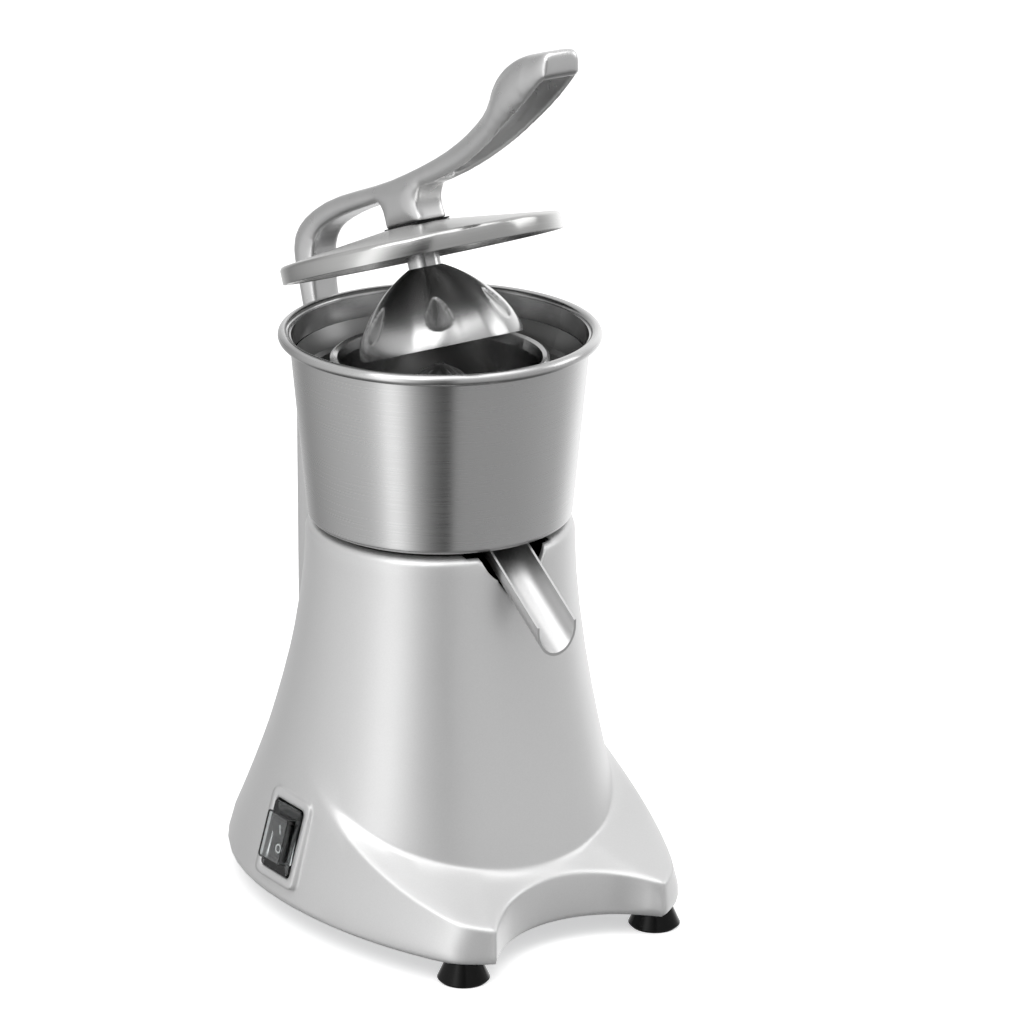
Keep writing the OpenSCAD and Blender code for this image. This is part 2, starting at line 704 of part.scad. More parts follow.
// Control sections of the lever from the hinge to the tip of the grip:
// lower y and z, upper y and z, half width
h2 = lever_w / 2;
g2 = grip_w / 2;
lever_sections = [
  [pv_y - leg_back, pv_z - 2, pv_y + leg_back, pv_z - 2, h2 - 0.3],
  [pv_y - 8.2, pv_z + 20, pv_y + 6.4, pv_z + 20, h2],
  [pv_y - 18.5, arm_z + 3, pv_y + 0.8, arm_z + 7.4, h2],
  [0.56 * pv_y, arm_z + 10.9, 0.67 * pv_y, arm_z + 20.2, h2],
  [0.06 * pv_y, arm_z + 13.5, 0.06 * pv_y, arm_z + 22.2, h2],
  [-0.29 * handle_reach, arm_z + 17, -0.315 * handle_reach, arm_z + 29, h2 - 1],
  [-0.53 * handle_reach, arm_z + 24.4, -0.575 * handle_reach, arm_z + 41, g2 - 2.6],
  [-0.7 * handle_reach, arm_z + 33, -0.7 * handle_reach, arm_z + 55.5, g2 - 0.2],
  [-0.83 * handle_reach, arm_z + 40.2, -0.83 * handle_reach, arm_z + 61.6, g2],
  [-0.966 * handle_reach, arm_z + 49.2, -0.987 * handle_reach, arm_z + 60.8, g2 - 0.8]
];
grip_cap = [-0.979 * handle_reach, arm_z + 51.6, -0.995 * handle_reach, arm_z + 59.2, g2 - 3];
lever_steps = 4;

// Smooth curve through a list of control sections
function through(p, i, t) =
  let (n = len(p) - 1, a = p[max(i - 1, 0)], b = p[i], c = p[min(i + 1, n)], d = p[min(i + 2, n)])
  0.5 * (2 * b + (c - a) * t + (2 * a - 5 * b + 4 * c - d) * t * t + (3 * b - a - 3 * c + d) * t * t * t);
function sections(p, first, last) = concat(
  [for (i = [first : last - 1], k = [0 : lever_steps - 1]) through(p, i, k / lever_steps)], [p[last]]
);

// Closed ring of a section with round corners, low and high measured up from the lower edge
function corner(x, v, r, a0) = [for (a = [0 : 30 : 90]) [x + r * cos(a0 + a), v + r * sin(a0 + a)]];
function ring_of(s, half, low, high, r_low, r_high) =
  let (
    b = [s[0], s[1]], up = ([s[2], s[3]] - b) / norm([s[2], s[3]] - b),
    pts = concat(
      corner(half - r_low, low + r_low, r_low, -90), corner(half - r_high, high - r_high, r_high, 0),
      corner(r_high - half, high - r_high, r_high, 90), corner(r_low - half, low + r_low, r_low, 180)
    )
  )
  [for (q = pts) [-q[0], b[0] + up[0] * q[1], b[1] + up[1] * q[1]]];
function height_of(s) = norm([s[2] - s[0], s[3] - s[1]]);

module lever_body() loft([
  for (s = concat(sections(lever_sections, 0, len(lever_sections) - 1), [grip_cap]))
    ring_of(s, s[4], 0, height_of(s), 2, 0.42 * s[4])
]);

// Boss under the arm, waisted in front and drawn out where it runs into the arm
boss_h = 17;
function boss_ring(t) =
  let (
    r = 3.5,
    half = boss_w / 2,
    front = -0.5 - boss_l / 2 + 7 * t * (1 - t) - 5 * pow(t, 4),
    rear = -0.5 + boss_l / 2 + 8 * pow(t, 5),
    pts = concat(
      corner(half - r, rear - r, r, 0), corner(r - half, rear - r, r, 90),
      corner(r - half, front + r, r, 180), corner(half - r, front + r, r, 270)
    )
  )
  [for (q = pts) [q[0], q[1], head_z + boss_h * t]];

// Hollow of the grip, open below
module grip_hollow() {
  wall_g = 2.8;
  cuts = sections(lever_sections, 4, len(lever_sections) - 1);
  n = len(cuts);
  loft([for (i = [3 : n - 2]) let (s = cuts[i])
    ring_of(s, s[4] - wall_g, -4, max(2, height_of(s) - wall_g - 0.6), 1, 2)]);
}

module lever() color("darkgray") lever_pose() difference() {
  union() {
    difference() {
      lever_body();
      grip_hollow();
    }
    translate([0, pv_y, pv_z]) rotate([0, 90, 0])
      cylinder(r = 8, h = lever_w - 0.6, center = true, $fn = 64);
    loft([for (t = [1 : -0.125 : 0]) boss_ring(t)]);
  }
  translate([0, pv_y, pv_z]) rotate([0, 90, 0]) cylinder(r = pin_r, h = 60, center = true, $fn = 64);
  translate([0, 0, head_z - 1]) cylinder(r = screw_r, h = 15, $fn = 48);
}

module hinge_pin() color("gainsboro") lever_pose() translate([0, pv_y, pv_z]) rotate([0, 90, 0])
  cylinder(r = pin_r, h = col_w + 4, center = true, $fn = 64);

module pin_clips() color("dimgray") lever_pose() translate([0, pv_y, pv_z]) rotate([0, 90, 0])
  for (s = [-1, 1]) translate([0, 0, s * (col_w / 2 + 1.1) - 0.6]) ring(pin_r, 6.8, 1.2);

module hinge_bushes() color("darkgoldenrod") translate([0, pv_y, pv_z]) rotate([0, 90, 0])
  for (s = [-1, 1]) translate([0, 0, s > 0 ? slot_w : -col_w / 2])
    ring(pin_r + run_fit, bush_r, col_w / 2 - slot_w);

module lid_gasket() color("black") lever_pose() translate([0, 0, lid_top]) linear_extrude(gasket_t)
difference() {
  translate([0, -0.5]) round_rect(boss_w - 0.6, boss_l - 0.6, 3);
  circle(screw_r, $fn = 48);
}

// Shallow cover with a round edge, hollow below
module splash_lid() color("silver") lever_pose() translate([0, 0, lid_z]) rotate_extrude() {
  t = 1.2;
  band = 9;
  hub = 17;
  top = lid_top - lid_z;
  polygon(concat(
    [[screw_r, top], [hub, top]],
    [for (a = [75 : -15 : 0]) [lid_r - 2.4 + 2.4 * cos(a), band - 2.4 + 2.4 * sin(a)]],
    [[lid_r, 0], [lid_r - t, 0]],
    [for (a = [0 : 15 : 75]) [lid_r - 2.4 + (2.4 - t) * cos(a), band - 2.4 + (2.4 - t) * sin(a)]],
    [[hub, top - t], [screw_r, top - t]]
  ));
}

module press_stem() color("gainsboro") lever_pose() translate([0, 0, dome_top])
  ring(screw_r, stem_r, lid_top - 1.2 - dome_top);

// Dome radius at height t of its full height, and the pressed dimples in its side
dome_k = dome_h * 1.082;
function dome_prof(t) = dome_r * pow(1 - pow(t * dome_h / dome_k, 1.7), 0.75);
function dent(o, t) =
  let (v = (t - 0.4) / 0.21, u = o / (9.5 * (1 - 0.25 * v)), q = u * u + v * v)
  q >= 1 ? 0 : dimple * pow(1 - q, 0.8);

// Columns of the dome, six times the same angles around the middle of a dimple
dent_cols = [-30, -21, -14, -9.5, -7, -3.5, 0, 3.5, 7, 9.5, 14, 21];
dome_cols = [for (k = [0 : 5], o = dent_cols) [60 * k + 30 + o, o]];
dome_rows = [0, 0.07, 0.14, 0.19, 0.24, 0.3, 0.36, 0.42, 0.48, 0.54, 0.6, 0.68, 0.77, 0.86, 0.92, 0.97, 1];
function dome_ring(t, in) = [
  for (c = dome_cols) let (r = dome_prof(t) - dent(c[1], t) - in)
    [r * sin(c[0]), -r * cos(c[0]), dome_z + t * (dome_h - in)]
];

module press_dome() color("gainsboro") lever_pose() difference() {
  loft(concat(
    [for (i = [len(dome_rows) - 1 : -1 : 0]) dome_ring(dome_rows[i], 0)],
    [for (i = [1 : 2 : len(dome_rows) - 2]) dome_ring(i == 1 ? 0 : dome_rows[i], sheet)]
  ));
  translate([0, 0, dome_z]) cylinder(r = screw_r, h = dome_h + 5, $fn = 48);
}

module dome_screw() color("gainsboro") lever_pose() {
  under = dome_z + 0.97 * (dome_h - sheet);
  translate([0, 0, under - 4]) cylinder(r = 7, h = 4, $fn = 6);
  translate([0, 0, under - eps]) cylinder(r = screw_r, h = head_z + 12 - under, $fn = 48);
}

housing();
base_plate();
base_screws();
foot_front_left();
foot_front_right();
foot_rear_left();
foot_rear_right();
foot_screws();
spout_well();
bowl_seat();
bowl();
spout();
splash_ring();
strainer();
shaft_seal();
motor_top_bracket();
motor_low_bracket();
stator_core();
stator_windings();
top_bearing();
low_bearing();
motor_bolts();
run_capacitor();
capacitor_clamp();
terminal_block();
cable_gland();
switch_frame();
switch_cover();
hinge_bushes();
motor_shaft();
rotor_core();
rotor_cage();
cooling_fan();
slinger();
drive_pin();
reamer();
switch_rocker();
lever();
hinge_pin();
pin_clips();
lid_gasket();
splash_lid();
press_stem();
press_dome();
dome_screw();
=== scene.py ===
"""Electric citrus press with a hand lever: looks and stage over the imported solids."""

from itertools import permutations
import json
import math

import bpy
from mathutils import Matrix, Vector
from mathutils.kdtree import KDTree


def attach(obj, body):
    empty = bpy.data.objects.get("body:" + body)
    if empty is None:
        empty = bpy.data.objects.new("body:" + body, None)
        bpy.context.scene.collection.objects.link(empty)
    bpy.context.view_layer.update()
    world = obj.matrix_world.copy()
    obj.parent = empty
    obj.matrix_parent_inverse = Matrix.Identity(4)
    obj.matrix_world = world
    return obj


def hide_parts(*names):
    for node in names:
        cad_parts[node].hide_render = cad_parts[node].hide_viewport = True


bl_info = {
    "name": "Electric citrus press",
    "version": (1, 0, 0),
    "blender": (4, 5, 0),
    "location": "View3D > Sidebar > Citrus press",
    "description": "Dresses the solids of an electric citrus press and sets its stage",
    "category": "Object",
}

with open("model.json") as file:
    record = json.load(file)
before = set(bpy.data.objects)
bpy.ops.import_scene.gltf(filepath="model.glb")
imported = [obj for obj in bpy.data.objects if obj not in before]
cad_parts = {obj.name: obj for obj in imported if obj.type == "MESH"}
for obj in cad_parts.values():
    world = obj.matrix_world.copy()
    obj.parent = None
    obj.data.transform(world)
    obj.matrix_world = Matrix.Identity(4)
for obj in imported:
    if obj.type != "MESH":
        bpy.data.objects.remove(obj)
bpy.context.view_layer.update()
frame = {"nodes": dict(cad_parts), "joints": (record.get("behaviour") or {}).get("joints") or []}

MM = 0.001
JOINTS = {joint["name"]: joint for joint in frame["joints"]}

# From the pressed position, in which the press head is drawn, to the open lever
SWING = JOINTS["lever_swing"]
LEVER_PIVOT = Vector(SWING["pos_m"])
LEVER_POSE = (
    Matrix.Translation(LEVER_PIVOT)
    @ Matrix.Rotation(math.radians(SWING["range_deg"][0]), 4, "X")
    @ Matrix.Translation(-LEVER_PIVOT)
)
LID_UP = LEVER_POSE.to_3x3() @ Vector((0, 0, 1))

# From the rocker's own axes, with Z out of the housing and Y up its side, to its place
TIP = JOINTS["rocker_tip"]
SIDE_LEAN = 16.5  # degrees that the side of the housing leans at the switch
ROCKER_POSE = (
    Matrix.Translation(Vector(TIP["pos_m"]))
    @ Matrix.Rotation(math.radians(SIDE_LEAN), 4, "Y")
    @ Matrix.Rotation(math.radians(-90), 4, "Z")
    @ Matrix.Rotation(math.radians(90 - TIP["range_deg"][0] / 2), 4, "X")
)

# Camera of the photograph, in metres, degrees and millimetres of lens
CAMERA_PLACE = (-1.2995, -1.9050, 1.009)
CAMERA_TILT, CAMERA_TURN = 70.66, -34.3
CAMERA_LENS, CAMERA_SENSOR, CAMERA_SHIFT, CAMERA_FAR = 172.27, 36, 0.0703, 50
# Direction from the press to the camera, seen from above, as an angle from +X
CAMERA_ANGLE = -124.3

# Light tent: degrees to the right of the camera, and how bright the cloth is there
CLOTH = [
    (-180, 1.0), (-160, 0.6), (-136, 0.34), (-100, 0.58), (-62, 0.8), (-50, 1.1), (-44, 1.6),
    (-36, 1.6), (-20, 0.62), (-8, 0.26), (3, 0.08), (9, 0.08), (12, 0.48), (60, 0.48),
    (95, 0.5), (112, 0.52), (126, 0.7), (143, 1.1), (158, 1.3), (180, 1.0)]
CLOTH_OVERHEAD, CLOTH_BELOW = 0.75, 0.15
# Heights, as the sine of the angle up, between which the cloth blends to those two
OVERHEAD_FROM, OVERHEAD_TO = 0.3, 0.65
BELOW_FROM, BELOW_TO = -0.5, -0.75
WHITE, BLACK = (1, 1, 1, 1), (0, 0, 0, 1)

# Sockets of a colour Mix node, which share their names with its other sockets
MIX_LOW, MIX_HIGH, MIX_RESULT = 6, 7, 2
# Where nearly all the values of a noise pattern lie
NOISE_SPAN = (0.3, 0.7)
QUARTER_TURN = 0.25


def srgb(code):
    """A hex colour as the linear values that the shaders take."""
    parts = [int(code[i : i + 2], 16) / 255 for i in (1, 3, 5)]
    return [c / 12.92 if c <= 0.04045 else ((c + 0.055) / 1.055) ** 2.4 for c in parts] + [1.0]


def scaled(colour, share):
    """A colour with this share of its light."""
    return [c * share for c in colour[:3]] + [1]


def per(size_mm):
    """Texture scale that gives features of about this many millimetres."""
    return 1000.0 / size_mm


class PressLooks(bpy.types.PropertyGroup):
    """Sizes and colours that someone who reuses the press would change."""

    paint: bpy.props.FloatVectorProperty(
        name="Housing paint", description="Silver paint of the housing",
        subtype="COLOR", size=4, min=0, max=1, default=srgb("#E0E0E0"))
    steel: bpy.props.FloatVectorProperty(
        name="Stainless steel", description="Bowl, spout, strainer and press head",
        subtype="COLOR", size=4, min=0, max=1, default=srgb("#D3D3D3"))
    casting: bpy.props.FloatVectorProperty(
        name="Lever casting", description="Tumbled aluminium of the lever",
        subtype="COLOR", size=4, min=0, max=1, default=srgb("#E2E2E2"))
    lid: bpy.props.FloatVectorProperty(
        name="Lid", description="Spun aluminium of the splash lid",
        subtype="COLOR", size=4, min=0, max=1, default=srgb("#CFCFCE"))
    rubber: bpy.props.FloatVectorProperty(
        name="Rubber", description="Feet, seals and the ring under the bowl",
        subtype="COLOR", size=4, min=0, max=1, default=srgb("#040404"))
    table: bpy.props.FloatVectorProperty(
        name="Table", description="Pale floor that the press stands on",
        subtype="COLOR", size=4, min=0, max=1, default=srgb("#F4F4F4"))
    edge: bpy.props.FloatProperty(
        name="Housing edge", description="Rounding of the housing's edges",
        unit="LENGTH", min=0.0002, max=0.003, default=0.8 * MM)
    grain: bpy.props.FloatProperty(
        name="Casting grain", description="Size of the lever's mesh, which rounds its edges",
        unit="LENGTH", min=0.0007, max=0.003, default=0.9 * MM)
    softening: bpy.props.IntProperty(
        name="Casting softening", description="Rounds of smoothing of the lever's edges",
        min=0, max=40, default=10)
    crown: bpy.props.FloatProperty(
        name="Casting crown",
        description="Share of its width that the lever loses along its outline",
        subtype="FACTOR", min=0, max=0.5, default=0.18)
    crown_reach: bpy.props.FloatProperty(
        name="Crown reach", description="How far from its outline the lever's sides curve",
        unit="LENGTH", min=0.002, max=0.03, default=10 * MM)
    turned_steps: bpy.props.IntProperty(
        name="Turning steps", description="Faces around a turned or spun piece",
        min=48, max=360, default=240)
    key: bpy.props.FloatProperty(
        name="Key light", description="Power of the soft box on the left",
        unit="POWER", min=0, max=200, default=7.0)
    top: bpy.props.FloatProperty(
        name="Top light", description="Power of the soft box overhead",
        unit="POWER", min=0, max=200, default=6.0)
    side: bpy.props.FloatProperty(
        name="Side light", description="Power of the small soft box on the right",
        unit="POWER", min=0, max=200, default=2.4)


def looks():
    """The sizes and colours of this scene's press."""
    return bpy.context.scene.press_looks


# Small helpers for pieces


def select_none():
    """Object mode, with nothing selected."""
    if bpy.context.object and bpy.context.object.mode != "OBJECT":
        bpy.ops.object.mode_set(mode="OBJECT")
    bpy.ops.object.select_all(action="DESELECT")


def select_only(piece):
    """Object mode, with this piece alone selected and active."""
    select_none()
    piece.select_set(True)
    bpy.context.view_layer.objects.active = piece


def copy_of(node, name):
    """A new piece that starts as a merged copy of a CAD node."""
    piece = bpy.data.objects.new(name, frame["nodes"][node].data.copy())
    piece.data.name = name
    bpy.context.collection.objects.link(piece)
    select_only(piece)
    if piece.data.has_custom_normals:
        bpy.ops.mesh.customdata_custom_splitnormals_clear()
    bpy.ops.object.mode_set(mode="EDIT")
    bpy.ops.mesh.select_all(action="SELECT")
    bpy.ops.mesh.remove_doubles(threshold=0.005 * MM)
    bpy.ops.object.mode_set(mode="OBJECT")
    return piece


def modify(piece, kind, **settings):
    """Adds a modifier with its settings and applies it."""
    select_only(piece)
    changed = piece.modifiers.new(kind.lower(), kind)
    for key, value in settings.items():
        setattr(changed, key, value)
    bpy.ops.object.modifier_apply(modifier=changed.name)


def turned(name, profile_mm, steps=None):
    """A closed piece turned about +Z from (radius, height) points in millimetres.

    A circle is drawn out ring by ring, the last ring is joined to the first, and the
    piece gets a UV map with the turn along U and the path along the profile along V.
    """
    profile = [(r * MM, z * MM) for r, z in profile_mm]
    select_none()
    radius, height = profile[0]
    bpy.ops.mesh.primitive_circle_add(
        vertices=steps or looks().turned_steps, radius=radius, fill_type="NOTHING",
        location=(0, 0, 0))
    piece = bpy.context.object
    piece.name = piece.data.name = name
    bpy.ops.object.mode_set(mode="EDIT")
    bpy.ops.mesh.select_all(action="SELECT")
    bpy.ops.transform.translate(value=(0, 0, height))
    for r, z in profile[1:] + profile[:1]:
        bpy.ops.mesh.extrude_region_move(
            TRANSFORM_OT_translate={"value": (0, 0, z - height)})
        bpy.ops.transform.resize(
            value=(r / radius, r / radius, 1), center_override=(0, 0, z))
        radius, height = r, z
    bpy.ops.mesh.select_all(action="SELECT")
    bpy.ops.mesh.remove_doubles(threshold=0.002 * MM)
    bpy.ops.mesh.normals_make_consistent(inside=False)
    bpy.ops.object.mode_set(mode="OBJECT")
    wrap = piece.data.uv_layers.new(name="turned")
    for face in piece.data.polygons:
        points = [piece.data.vertices[v].co for v in face.vertices]
        turns = [math.atan2(*at.xy) / math.tau for at in points]
        # a face across the seam has corners nearly a whole turn apart
        last = max(turns)
        for corner, at, u in zip(face.loop_indices, points, turns):
            wrap.data[corner].uv = (u + 1 if last - u > 0.5 else u, at.xy.length - at.z)
    return piece


def finish_piece(piece, body, material, slot, *nodes, angle=35):
    """Smooth shading, its finish, its body, and the CAD nodes that it stands for."""
    select_only(piece)
    bpy.ops.object.shade_smooth_by_angle(angle=math.radians(angle))
    piece.data.materials.clear()
    piece.data.materials.append(material)
    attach(piece, body)
    if nodes:
        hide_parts(*nodes)


# Small helpers for materials


def add(tree, kind, inputs=None, **settings):
    """One shader node with its settings, and its inputs set or linked."""
    made = tree.nodes.new(kind)
    for key, value in settings.items():
        setattr(made, key, value)
    for key, value in (inputs or {}).items():
        if isinstance(value, bpy.types.NodeSocket):
            tree.links.new(value, made.inputs[key])
        else:
            made.inputs[key].default_value = value
    return made


def blank(name, **constants):
    """A new material: itself, its tree, its surface shader and its coordinates.

    A constant is named for its socket, as specular_ior_level for Specular IOR Level.
    """
    material = bpy.data.materials.new(name)
    material.use_nodes = True
    tree = material.node_tree
    shader = tree.nodes["Principled BSDF"]
    for key, value in constants.items():
        socket = key.replace("_", " ").title().replace("Ior", "IOR")
        shader.inputs[socket].default_value = value
    return material, tree, shader, add(tree, "ShaderNodeTexCoord").outputs


def vary(tree, shader, pattern, tones=None, rough=None, span=NOISE_SPAN):
    """Lets a pattern set the tone and the roughness of a surface, each from low to high."""
    if tones:
        tone = add(tree, "ShaderNodeMix", {
            "Factor": pattern, MIX_LOW: tones[0], MIX_HIGH: tones[1]}, data_type="RGBA")
        tree.links.new(tone.outputs[MIX_RESULT], shader.inputs["Base Color"])
    if rough:
        spread = add(tree, "ShaderNodeMapRange", {
            "Value": pattern, "From Min": span[0], "From Max": span[1],
            "To Min": rough[0], "To Max": rough[1]})
        tree.links.new(spread.outputs["Result"], shader.inputs["Roughness"])


def spun_lines(tree, shader, breaks, apart_mm, detail):
    """Lines around a turned piece, which also draw its highlights out across them."""
    around = add(tree, "ShaderNodeTangent", direction_type="UV_MAP", uv_map="turned")
    tree.links.new(around.outputs["Tangent"], shader.inputs["Tangent"])
    wrap = add(tree, "ShaderNodeUVMap", uv_map="turned")
    stretch = add(tree, "ShaderNodeMapping", {
        "Vector": wrap.outputs["UV"], "Scale": (breaks, per(apart_mm), 1.0)})
    lines = add(tree, "ShaderNodeTexNoise", {
        "Vector": stretch.outputs["Vector"], "Scale": 1.0, "Detail": detail})
    return lines.outputs["Fac"]


# Materials


def silver_enamel():
    # Silver stove enamel on a casting: satin metallic, with fine flake and a slight ripple
    material, tree, shader, where = blank("silver_enamel", metallic=0.61, roughness=0.36)
    flake = add(tree, "ShaderNodeTexNoise", {  # flake groups of 0.9 mm, coarse to show
        "Vector": where["Object"], "Scale": per(0.9), "Detail": 2.0})
    cloud = add(tree, "ShaderNodeTexNoise", {  # spray clouds of 45 mm
        "Vector": where["Object"], "Scale": per(45), "Detail": 3.0})
    base = looks().paint
    vary(tree, shader, flake.outputs["Fac"], tones=(scaled(base, 0.93), base[:]))
    vary(tree, shader, cloud.outputs["Fac"], rough=(0.34, 0.38))
    # the paint flows over edges and into corners, so both look rounded by 3.2 mm
    flow = add(tree, "ShaderNodeBevel", {"Radius": 3.2 * MM}, samples=8)
    ripple = add(tree, "ShaderNodeBump", {
        "Height": flake.outputs["Fac"], "Strength": 0.06, "Distance": 0.2 * MM,
        "Normal": flow.outputs["Normal"]})
    tree.links.new(ripple.outputs["Normal"], shader.inputs["Normal"])
    return material


def brushed_stainless():
    # Stainless sheet brushed on the lathe: lines run around, so highlights stretch up and down
    material, tree, shader, where = blank(
        "brushed_stainless", metallic=1.0, roughness=0.28,
        anisotropic=0.8, anisotropic_rotation=QUARTER_TURN)
    around = add(tree, "ShaderNodeTangent", direction_type="RADIAL", axis="Z")
    tree.links.new(around.outputs["Tangent"], shader.inputs["Tangent"])
    # lines 0.5 mm apart, the finest that shows, and about 60 mm long
    stretch = add(tree, "ShaderNodeMapping", {
        "Vector": where["Object"], "Scale": (per(60), per(60), per(0.5))})
    lines = add(tree, "ShaderNodeTexNoise", {
        "Vector": stretch.outputs["Vector"], "Scale": 1.0, "Detail": 3.0})
    base = looks().steel
    vary(tree, shader, lines.outputs["Fac"], tones=(scaled(base, 0.94), base[:]))
    rough = add(tree, "ShaderNodeMapRange", {
        "Value": lines.outputs["Fac"], "From Min": NOISE_SPAN[0], "From Max": NOISE_SPAN[1],
        "To Min": 0.26, "To Max": 0.32})
    # the inside, whose faces look towards the axis, is polished to 0.65 of that roughness
    level = add(tree, "ShaderNodeVectorMath", {
        0: where["Object"], 1: (1, 1, 0)}, operation="MULTIPLY")
    outward = add(tree, "ShaderNodeVectorMath", {
        0: level.outputs["Vector"]}, operation="NORMALIZE")
    facing = add(tree, "ShaderNodeVectorMath", {
        0: outward.outputs["Vector"], 1: where["Normal"]}, operation="DOT_PRODUCT")
    inside = add(tree, "ShaderNodeMapRange", {
        "Value": facing.outputs["Value"], "From Min": 0.1, "From Max": -0.1,
        "To Min": 1.0, "To Max": 0.65})
    polish = add(tree, "ShaderNodeMath", {
        0: rough.outputs["Result"], 1: inside.outputs["Result"]}, operation="MULTIPLY")
    tree.links.new(polish.outputs["Value"], shader.inputs["Roughness"])
    return material


def rolled_stainless():
    # Stainless sheet with its dull rolled finish, folded to shape: soft grey without lines
    material, tree, shader, where = blank("rolled_stainless", metallic=1.0, roughness=0.4)
    grain = add(tree, "ShaderNodeTexNoise", {  # grain of 1.2 mm, coarse to show
        "Vector": where["Object"], "Scale": per(1.2), "Detail": 3.0})
    base = looks().steel
    vary(tree, shader, grain.outputs["Fac"], (scaled(base, 0.9), base[:]), (0.38, 0.42))
    return material


def drawn_stainless():
    # Stainless sheet with painted shade: the steel darkened to a softer grey than the brushed
    # bowl, for the shade inside the bowl
    material, tree, shader, where = blank("drawn_stainless", metallic=1.0, roughness=0.32)
    grain = add(tree, "ShaderNodeTexNoise", {  # grain of 1.2 mm, coarse to show
        "Vector": where["Object"], "Scale": per(1.2), "Detail": 3.0})
    # painted shade: the steel's tone cut to 0.46 of its light, for the shade that falls inside
    # the bowl
    base = scaled(looks().steel, 0.46)
    vary(tree, shader, grain.outputs["Fac"], (scaled(base, 0.9), base), (0.3, 0.34))
    return material


def polished_stainless():
    # Stainless pressing with a fine turned polish: nearly a mirror, drawn out along the profile
    material, tree, shader, _ = blank(
        "polished_stainless", metallic=1.0, roughness=0.22,
        anisotropic=1.0, anisotropic_rotation=QUARTER_TURN)
    # rings 0.4 mm apart, the finest that shows, broken up twelve times in a turn
    rings = spun_lines(tree, shader, breaks=12.0, apart_mm=0.4, detail=2.0)
    base = looks().steel
    vary(tree, shader, rings, (scaled(base, 0.94), base[:]), (0.2, 0.24))
    return material


def ground_steel():
    # Ground and polished bar: plain mirror steel with faint grinding marks
    material, tree, shader, where = blank("ground_steel", metallic=1.0, roughness=0.14)
    marks = add(tree, "ShaderNodeTexNoise", {  # marks of 0.8 mm
        "Vector": where["Object"], "Scale": per(0.8), "Detail": 3.0})
    base = looks().steel
    vary(tree, shader, marks.outputs["Fac"], (scaled(base, 0.9), base[:]), (0.1, 0.2))
    return material


def spun_aluminium_sheet():
    # Spun aluminium sheet: satin grey with fine rings from the spinning tool, and painted shade
    # on its underside
    material, tree, shader, where = blank(
        "spun_aluminium_sheet", metallic=1.0, roughness=0.25,
        anisotropic=0.9, anisotropic_rotation=QUARTER_TURN)
    # tool rings 0.6 mm apart, broken up eight times in a turn
    rings = spun_lines(tree, shader, breaks=8.0, apart_mm=0.6, detail=3.0)
    base = looks().lid
    tone = add(tree, "ShaderNodeMix", {
        "Factor": rings, MIX_LOW: scaled(base, 0.86), MIX_HIGH: base[:]}, data_type="RGBA")
    # painted shade: the faces that look down from the lid are darkened to half its tone, for the
    # shade under the lid
    facing = add(tree, "ShaderNodeVectorMath", {
        0: where["Normal"], 1: LID_UP}, operation="DOT_PRODUCT")
    under = add(tree, "ShaderNodeMapRange", {
        "Value": facing.outputs["Value"], "From Min": -0.3, "From Max": -0.7})
    vary(tree, shader, under.outputs["Result"],
         tones=(tone.outputs[MIX_RESULT], scaled(base, 0.5)))
    vary(tree, shader, rings, rough=(0.18, 0.26))
    return material


def tumbled_casting():
    # Aluminium casting tumbled to a satin grey: soft mottling, and fine grain from the media
    material, tree, shader, where = blank("tumbled_casting", metallic=0.9, roughness=0.28)
    mottle = add(tree, "ShaderNodeTexNoise", {  # mottling of 9 mm
        "Vector": where["Object"], "Scale": per(9), "Detail": 4.0})
    grain = add(tree, "ShaderNodeTexNoise", {  # media marks of 0.8 mm
        "Vector": where["Object"], "Scale": per(0.8), "Detail": 2.0})
    base = looks().casting
    vary(tree, shader, mottle.outputs["Fac"], (scaled(base, 0.92), base[:]), (0.27, 0.31))
    # tumbling wears edges and small marks away, so both look rounded by 2.2 mm
    worn = add(tree, "ShaderNodeBevel", {"Radius": 2.2 * MM}, samples=8)
    peen = add(tree, "ShaderNodeBump", {
        "Height": grain.outputs["Fac"], "Strength": 0.01, "Distance": 0.2 * MM,
        "Normal": worn.outputs["Normal"]})
    tree.links.new(peen.outputs["Normal"], shader.inputs["Normal"])
    return material


def zinc_plated_steel():
    # Zinc plated steel: bluish grey with the faint spangle of the plating
    material, tree, shader, where = blank("zinc_plated_steel", metallic=1.0, roughness=0.35)
    spangle = add(tree, "ShaderNodeTexVoronoi", {  # crystals of 2.5 mm
        "Vector": where["Object"], "Scale": per(2.5)})
    vary(tree, shader, spangle.outputs["Distance"], (srgb("#A9AEB2"), srgb("#C3C7CA")),
         (0.28, 0.42), span=(0, 1))
    return material


def moulded_rubber():
    # Moulded black rubber: deep black with a soft shine and a faint bloom
    material, tree, shader, where = blank(
        "moulded_rubber", roughness=0.16, specular_ior_level=0.25)
    bloom = add(tree, "ShaderNodeTexNoise", {  # bloom patches of 6 mm
        "Vector": where["Object"], "Scale": per(6), "Detail": 3.0})
    base = looks().rubber
    vary(tree, shader, bloom.outputs["Fac"], (base[:], scaled(base, 1.8)), (0.12, 0.2))
    return material


def moulded_abs():
    # Moulded ABS: black with a fine spark eroded grain that keeps highlights soft
    material, tree, shader, where = blank(
        "moulded_abs", roughness=0.3, specular_ior_level=0.06)
    erode = add(tree, "ShaderNodeTexNoise", {  # grain of 0.5 mm, coarse to show
        "Vector": where["Object"], "Scale": per(0.5), "Detail": 2.0})
    vary(tree, shader, erode.outputs["Fac"], (srgb("#040404"), srgb("#0A0A0A")))
    grain = add(tree, "ShaderNodeBump", {
        "Height": erode.outputs["Fac"], "Strength": 0.2, "Distance": 0.1 * MM})
    tree.links.new(grain.outputs["Normal"], shader.inputs["Normal"])
    return material


